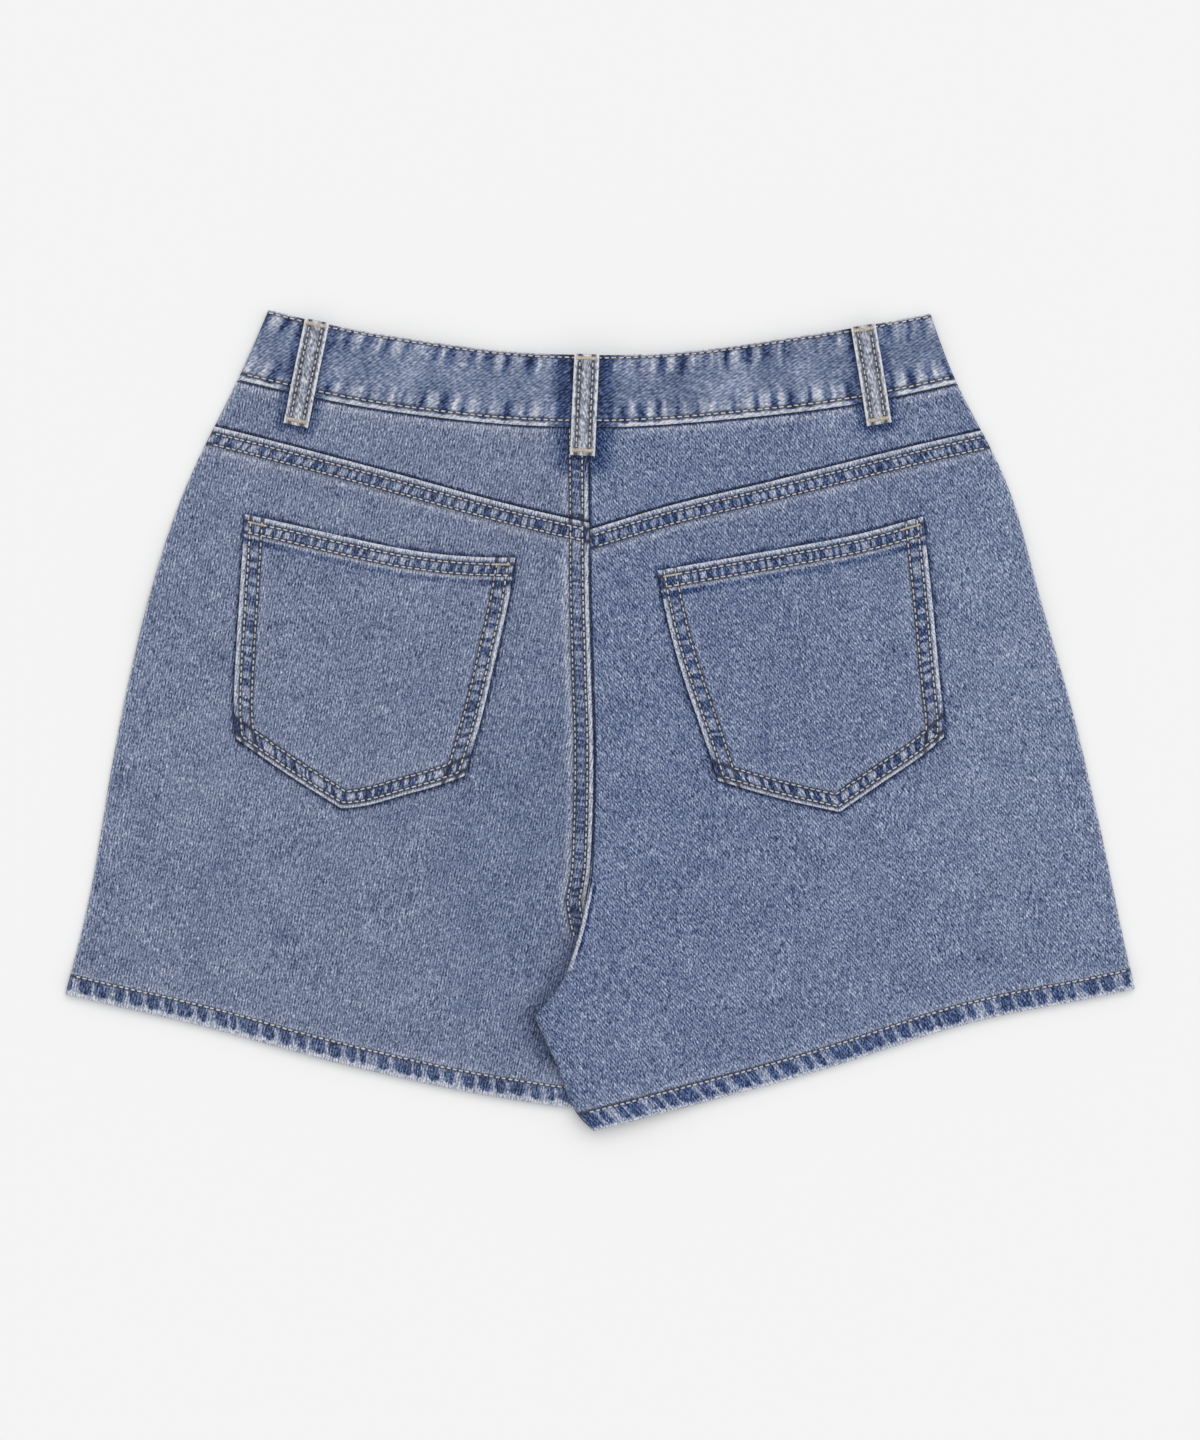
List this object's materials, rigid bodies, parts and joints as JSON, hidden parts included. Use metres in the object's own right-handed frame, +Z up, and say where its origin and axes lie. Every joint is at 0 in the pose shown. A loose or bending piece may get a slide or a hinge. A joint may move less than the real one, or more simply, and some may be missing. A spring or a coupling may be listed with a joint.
{
  "type": "denim shorts laid flat with the back up",
  "caption": "Light-blue washed denim shorts lying flat, back up: yokes, patch pockets, waistband with belt loops, stitched hems, right leg lapped over left.",
  "frame": {"origin": "on the table, under the middle of the garment's outline", "axes": "+X to the right across the leg openings, +Y towards the waist, +Z up from the table, out of the back of the garment"},
  "size_m": [0.5564, 0.4264, 0.0133],
  "materials": {
    "denim_left": "washed indigo twill, worn at the seams",
    "denim_right": "washed indigo twill, worn at the seams",
    "denim_waistband": "washed indigo twill, puckered by its stitching",
    "denim_loops": "washed indigo twill, edges worn nearly white",
    "zip_tape": "woven tape, navy",
    "sewing_thread": "cream polyester core-spun thread",
    "button_metal": "aged, satin"
  },
  "bodies": {
    "root": {"back_left": "denim_left", "back_right": "denim_right", "yoke_left": "denim_left", "yoke_right": "denim_right", "back_pocket_left": "denim_left", "back_pocket_right": "denim_right", "front_left": "denim_left", "front_right": "denim_right", "front_pocket_facing_left": "denim_left", "front_pocket_facing_right": "denim_right", "fly_shield": "denim_left", "zip": "zip_tape", "waistband_left": "denim_waistband", "waistband_right": "denim_waistband", "belt_loop_back_left": "denim_loops", "belt_loop_back_centre": "denim_loops", "belt_loop_back_right": "denim_loops", "belt_loop_front_left": "denim_loops", "belt_loop_front_right": "denim_loops", "button": "button_metal"}
  },
  "joints": []
}
